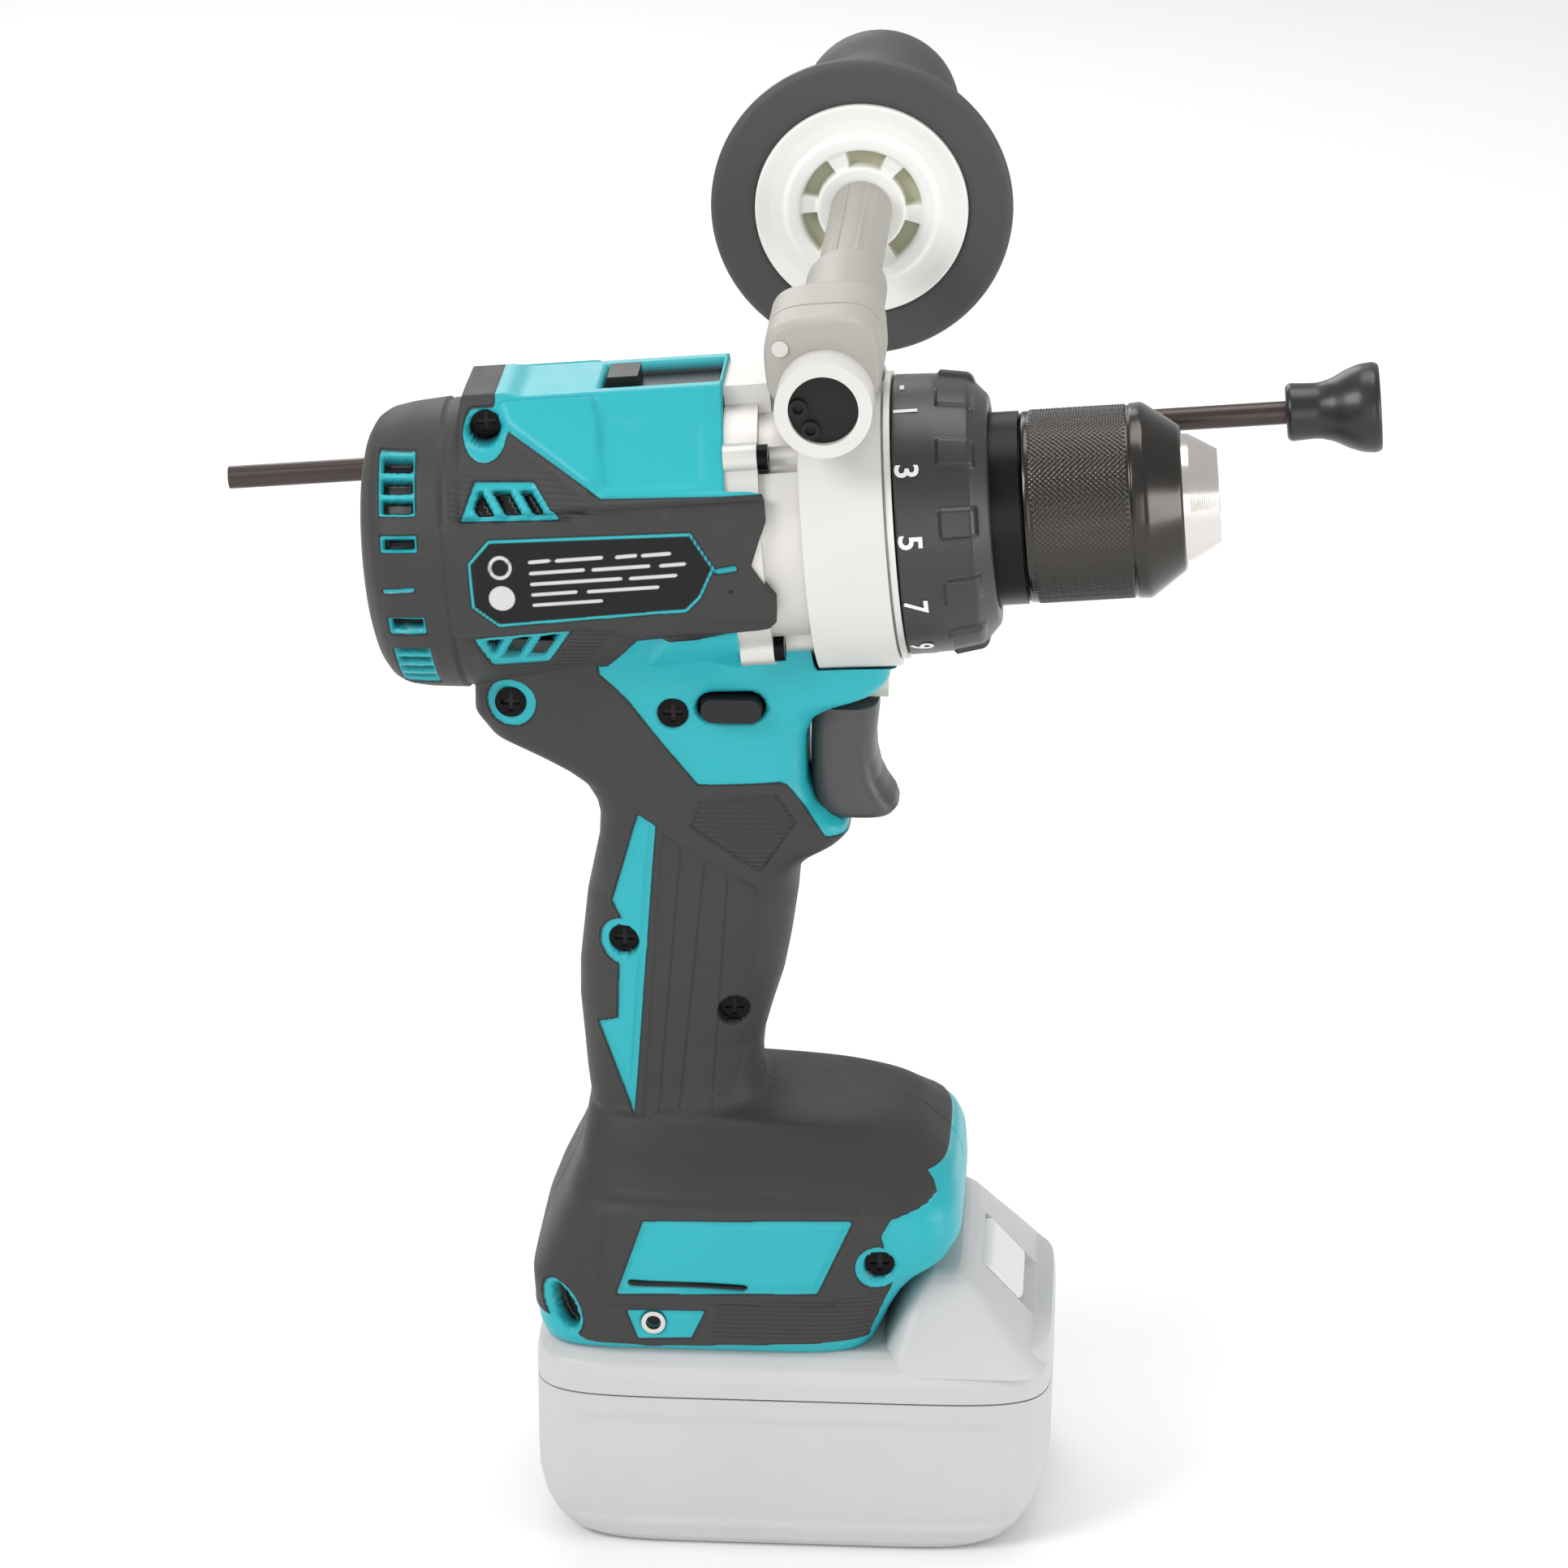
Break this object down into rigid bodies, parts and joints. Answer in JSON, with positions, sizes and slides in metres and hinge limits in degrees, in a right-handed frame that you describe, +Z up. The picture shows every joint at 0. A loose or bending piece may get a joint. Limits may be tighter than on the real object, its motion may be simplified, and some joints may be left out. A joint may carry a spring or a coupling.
{
  "type": "cordless drill",
  "caption": "Pistol-grip cordless drill with keyless chuck, torque ring, clamped side handle, depth rod and slide-on battery pack.",
  "frame": {"origin": "centre of the battery pack's flat base", "axes": "+X to the chuck, +Y to the drill's left side, +Z up"},
  "size_m": [0.2515, 0.2595, 0.295],
  "materials": {
    "housing_plastic": "fine satin moulding",
    "grip_rubber": "soft matt",
    "cover_plastic": "satin",
    "plate_film": "smooth film",
    "black_plastic": "satin",
    "black_screw": "black zinc",
    "insert_brass": "plated",
    "lens": "clear moulding, frosted",
    "core_steel": "stacked laminations",
    "copper": "enamelled wire",
    "board": "lacquered board",
    "bearing_steel": "ground",
    "gear_steel": "hardened",
    "spring_steel": "oiled",
    "case_aluminium": "fine blasted casting",
    "band_aluminium": "fine blasted casting",
    "ring_plastic": "satin",
    "lead_rubber": "lead sleeving",
    "chuck_black": "black oxide",
    "jaw_steel": "ground",
    "trigger_plastic": "satin",
    "clamp_plastic": "satin filled moulding",
    "hub_plastic": "natural white",
    "rod_steel": "dark oxide",
    "tip_rubber": "smooth",
    "pack_plastic": "pale grey",
    "cell_wrap": "shrink sleeve"
  },
  "bodies": {
    "housing": {"housing_right": "housing_plastic", "housing_left": "housing_plastic", "grip_cover_right": "grip_rubber", "grip_cover_left": "grip_rubber", "rear_cover": "cover_plastic", "side_plates": "plate_film", "slide_plate": "black_plastic", "housing_screws": "black_screw", "hook_inserts": "insert_brass", "work_light": "lens", "stator_core": "core_steel", "stator_coils": "copper", "position_board": "board", "motor_bearings": "bearing_steel", "gear_case": "case_aluminium", "gear_case_screws": "black_screw", "index_ring": "ring_plastic", "spindle_bearings": "bearing_steel", "clutch_spring": "spring_steel", "ring_gears": "gear_steel", "switch_unit": "black_plastic", "trigger_spring": "spring_steel", "terminal_block": "black_plastic", "control_board": "board", "inner_leads": "lead_rubber"},
    "rotor": {"motor_shaft": "bearing_steel", "rotor_core": "core_steel", "cooling_fan": "black_plastic"},
    "first_carrier": {"carrier_first": "gear_steel"},
    "output": {"spindle": "gear_steel", "chuck_body": "chuck_black"},
    "sleeve": {"chuck_sleeve": "chuck_black"},
    "torque_dial": {"torque_ring": "black_plastic"},
    "speed_slider": {"speed_lever": "black_plastic"},
    "reversing_button": {"direction_button": "black_plastic"},
    "trigger_lever": {"trigger": "trigger_plastic"},
    "side_clamp": {"clamp_band": "band_aluminium", "clamp_block": "clamp_plastic", "clamp_pin": "bearing_steel", "tie_bolt": "bearing_steel", "bolt_plug": "black_plastic"},
    "side_grip": {"handle_hub": "hub_plastic", "handle_grip": "grip_rubber"},
    "depth_stop": {"depth_rod": "rod_steel", "rod_tip": "tip_rubber"},
    "battery": {"pack_case": "pack_plastic", "pack_lid": "pack_plastic", "pack_cells": "cell_wrap", "cell_board": "board", "pack_screws": "black_screw"},
    "battery_catch": {"pack_catch": "pack_plastic"},
    "first_planet_a": {"planet_first_a": "gear_steel"},
    "second_planet_a": {"planet_second_a": "gear_steel"},
    "first_planet_b": {"planet_first_b": "gear_steel"},
    "second_planet_b": {"planet_second_b": "gear_steel"},
    "first_planet_c": {"planet_first_c": "gear_steel"},
    "second_planet_c": {"planet_second_c": "gear_steel"},
    "jaw_1": {"chuck_jaw_1": "jaw_steel"},
    "jaw_2": {"chuck_jaw_2": "jaw_steel"},
    "jaw_3": {"chuck_jaw_3": "jaw_steel"}
  },
  "joints": [
    {"name": "chuck_spin", "type": "hinge", "parent": "housing", "child": "output", "pos_m": [0, 0, 0.225], "axis": [0.9965, 0, 0.0837], "continuous": true},
    {"name": "rotor_spin", "type": "hinge", "parent": "housing", "child": "rotor", "pos_m": [0, 0, 0.225], "axis": [0.9965, 0, 0.0837], "continuous": true},
    {"name": "first_carrier_spin", "type": "hinge", "parent": "housing", "child": "first_carrier", "pos_m": [0, 0, 0.225], "axis": [0.9965, 0, 0.0837], "continuous": true},
    {"name": "first_planet_a_spin", "type": "hinge", "parent": "first_carrier", "child": "first_planet_a", "pos_m": [-0.01907, 0, 0.23695], "axis": [0.9965, 0, 0.0837], "continuous": true},
    {"name": "second_planet_a_spin", "type": "hinge", "parent": "output", "child": "second_planet_a", "pos_m": [-0.00623, 0, 0.23938], "axis": [0.9965, 0, 0.0837], "continuous": true},
    {"name": "first_planet_b_spin", "type": "hinge", "parent": "first_carrier", "child": "first_planet_b", "pos_m": [-0.01737, -0.01169, 0.21677], "axis": [0.9965, 0, 0.0837], "continuous": true},
    {"name": "second_planet_b_spin", "type": "hinge", "parent": "output", "child": "second_planet_b", "pos_m": [-0.00436, -0.01286, 0.21718], "axis": [0.9965, 0, 0.0837], "continuous": true},
    {"name": "first_planet_c_spin", "type": "hinge", "parent": "first_carrier", "child": "first_planet_c", "pos_m": [-0.01737, 0.01169, 0.21677], "axis": [0.9965, 0, 0.0837], "continuous": true},
    {"name": "second_planet_c_spin", "type": "hinge", "parent": "output", "child": "second_planet_c", "pos_m": [-0.00436, 0.01286, 0.21718], "axis": [0.9965, 0, 0.0837], "continuous": true},
    {"name": "sleeve_turn", "type": "hinge", "parent": "output", "child": "sleeve", "pos_m": [0, 0, 0.225], "axis": [0.9965, 0, 0.0837], "range_deg": [-2080.8, 1324.8]},
    {"name": "jaw_1_slide", "type": "slide", "parent": "output", "child": "jaw_1", "axis": [0.9871, 0, -0.1599], "range_m": [-0.0146, 0.0093]},
    {"name": "jaw_2_slide", "type": "slide", "parent": "output", "child": "jaw_2", "axis": [0.9568, 0.2095, 0.2017], "range_m": [-0.0146, 0.0093]},
    {"name": "jaw_3_slide", "type": "slide", "parent": "output", "child": "jaw_3", "axis": [0.9568, -0.2095, 0.2017], "range_m": [-0.0146, 0.0093]},
    {"name": "torque_turn", "type": "hinge", "parent": "housing", "child": "torque_dial", "pos_m": [0, 0, 0.225], "axis": [0.9965, 0, 0.0837], "range_deg": [-60, 240]},
    {"name": "speed_slide", "type": "slide", "parent": "housing", "child": "speed_slider", "axis": [0.9965, 0, 0.0837], "range_m": [0, 0.009]},
    {"name": "reversing_slide", "type": "slide", "parent": "housing", "child": "reversing_button", "axis": [0, 1, 0], "range_m": [-0.003, 0.003]},
    {"name": "trigger_pull", "type": "slide", "parent": "housing", "child": "trigger_lever", "axis": [-1, 0, 0], "range_m": [0, 0.007], "stiffness_N_per_m": 1200, "springref_m": -0.003},
    {"name": "side_clamp_swing", "type": "hinge", "parent": "housing", "child": "side_clamp", "pos_m": [0, 0, 0.225], "axis": [0.9965, 0, 0.0837], "range_deg": [-40, 90]},
    {"name": "side_grip_turn", "type": "hinge", "parent": "side_clamp", "child": "side_grip", "pos_m": [0.00657, 0.15, 0.26027], "axis": [0, 1, 0], "range_deg": [0, 720]},
    {"name": "depth_stop_slide", "type": "slide", "parent": "side_clamp", "child": "depth_stop", "axis": [0.9965, 0, 0.0837], "range_m": [-0.078, 0.115]},
    {"name": "battery_slide", "type": "slide", "parent": "housing", "child": "battery", "axis": [1, 0, 0], "range_m": [0, 0.066]},
    {"name": "catch_press", "type": "slide", "parent": "battery", "child": "battery_catch", "axis": [0, 0, -1], "range_m": [0, 0.003], "stiffness_N_per_m": 1200, "springref_m": -0.003}
  ],
  "couplings": [
    {"joint": "rotor_spin", "follows": "chuck_spin", "ratio": 18.333},
    {"joint": "first_carrier_spin", "follows": "chuck_spin", "ratio": 3.6667},
    {"joint": "first_planet_a_spin", "follows": "chuck_spin", "ratio": -9.7778},
    {"joint": "second_planet_a_spin", "follows": "chuck_spin", "ratio": -3.2},
    {"joint": "first_planet_b_spin", "follows": "chuck_spin", "ratio": -9.7778},
    {"joint": "second_planet_b_spin", "follows": "chuck_spin", "ratio": -3.2},
    {"joint": "first_planet_c_spin", "follows": "chuck_spin", "ratio": -9.7778},
    {"joint": "second_planet_c_spin", "follows": "chuck_spin", "ratio": -3.2},
    {"joint": "jaw_1_slide", "follows": "sleeve_turn", "m_per_rad": 0.00039789},
    {"joint": "jaw_2_slide", "follows": "sleeve_turn", "m_per_rad": 0.00039789},
    {"joint": "jaw_3_slide", "follows": "sleeve_turn", "m_per_rad": 0.00039789}
  ]
}
